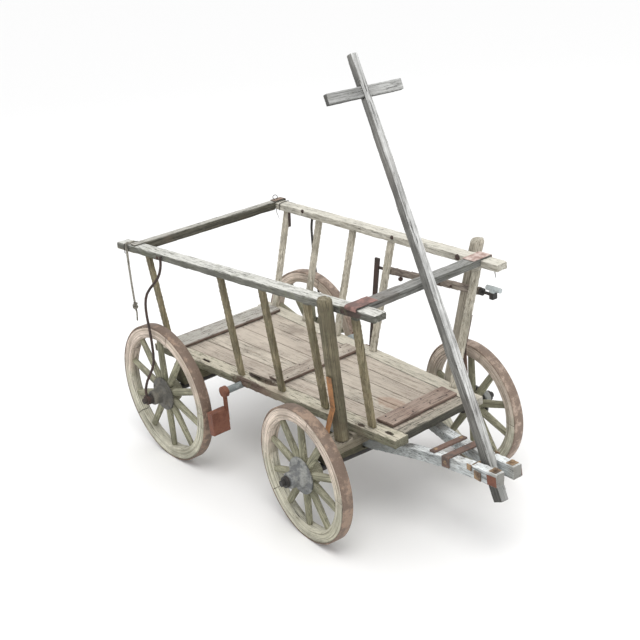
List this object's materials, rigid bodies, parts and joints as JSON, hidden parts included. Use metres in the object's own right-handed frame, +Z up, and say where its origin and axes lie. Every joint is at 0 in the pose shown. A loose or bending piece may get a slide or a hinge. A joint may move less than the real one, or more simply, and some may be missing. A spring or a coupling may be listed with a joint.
{
  "type": "small wooden ladder wagon",
  "caption": "Hand-pulled wooden ladder wagon with iron-tyred spoked wheels, a steered front axle, a tongue with a cross handle, and a screw brake.",
  "frame": {"origin": "on the ground, at the middle of the box around the cart", "axes": "+X forward towards the tongue, +Y to the cart's left, +Z up"},
  "size_m": [1.5622, 0.872, 1.4239],
  "materials": {
    "grey_wood": "bare, weathered grey",
    "deck_wood": "bare, worn brown and grey",
    "olive_wood": "bare, dark and mossy",
    "wheel_wood": "bare, weathered",
    "pale_wood": "remains of pale paint on grey wood",
    "rust_iron": "rusty, rough",
    "dark_iron": "dark, worn",
    "pipe_iron": "dull blue-grey",
    "hemp": "rough twisted rope"
  },
  "bodies": {
    "cart": {"axle_rear": "dark_iron", "bolster_front": "grey_wood", "bolster_rear": "olive_wood", "brake_arm_left": "rust_iron", "brake_arm_right": "rust_iron", "brake_board": "grey_wood", "brake_crank": "dark_iron", "brake_lever": "dark_iron", "brake_rod": "dark_iron", "brake_shaft": "pipe_iron", "crossbar_front": "grey_wood", "crossbar_rear": "grey_wood", "deck_batten_front": "deck_wood", "deck_batten_middle": "deck_wood", "deck_boards": "deck_wood", "front_cross_member": "grey_wood", "king_pin": "dark_iron", "ladder_left": "grey_wood", "ladder_right": "grey_wood", "lower_rail_left": "grey_wood", "lower_rail_right": "grey_wood", "rear_cross_board": "grey_wood", "rope": "hemp", "rope_knot": "hemp", "stake_brace_left": "rust_iron", "stake_brace_right": "rust_iron", "stake_left": "olive_wood", "stake_right": "olive_wood", "stay_left": "dark_iron", "stay_right": "dark_iron"},
    "front_carriage": {"axle_bed_front": "olive_wood", "axle_front": "dark_iron", "fork_arm_left": "pale_wood", "fork_arm_right": "pale_wood", "fork_rear_bar": "olive_wood", "fork_flat_bar": "rust_iron", "fork_band": "rust_iron", "pivot_bolt": "rust_iron", "stop_bolt": "rust_iron"},
    "tongue": {"tongue": "pale_wood", "tongue_handle": "grey_wood"},
    "rear_wheel_left": {"wheel_rear_left": "wheel_wood", "tyre_rear_left": "rust_iron"},
    "rear_wheel_right": {"wheel_rear_right": "wheel_wood", "tyre_rear_right": "rust_iron"},
    "front_wheel_left": {"wheel_front_left": "wheel_wood", "tyre_front_left": "rust_iron"},
    "front_wheel_right": {"wheel_front_right": "wheel_wood", "tyre_front_right": "rust_iron"}
  },
  "joints": [
    {"name": "steering", "type": "hinge", "parent": "cart", "child": "front_carriage", "pos_m": [0.25388, 0, 0.279], "axis": [0, 0, 1], "range_deg": [-15.5, 26.5]},
    {"name": "tongue_hinge", "type": "hinge", "parent": "front_carriage", "child": "tongue", "pos_m": [0.7038, -0.04332, 0.297], "axis": [0.0958, 0.9954, 0], "range_deg": [0, 90]},
    {"name": "rear_left_turns", "type": "hinge", "parent": "cart", "child": "rear_wheel_left", "pos_m": [-0.53112, 0.339, 0.25], "axis": [0, 1, 0], "continuous": true},
    {"name": "rear_right_turns", "type": "hinge", "parent": "cart", "child": "rear_wheel_right", "pos_m": [-0.53112, -0.339, 0.25], "axis": [0, 1, 0], "continuous": true},
    {"name": "front_left_turns", "type": "hinge", "parent": "front_carriage", "child": "front_wheel_left", "pos_m": [0.28638, 0.33744, 0.22], "axis": [0.0958, 0.9954, 0], "continuous": true},
    {"name": "front_right_turns", "type": "hinge", "parent": "front_carriage", "child": "front_wheel_right", "pos_m": [0.22139, -0.33744, 0.22], "axis": [0.0958, 0.9954, 0], "continuous": true}
  ]
}
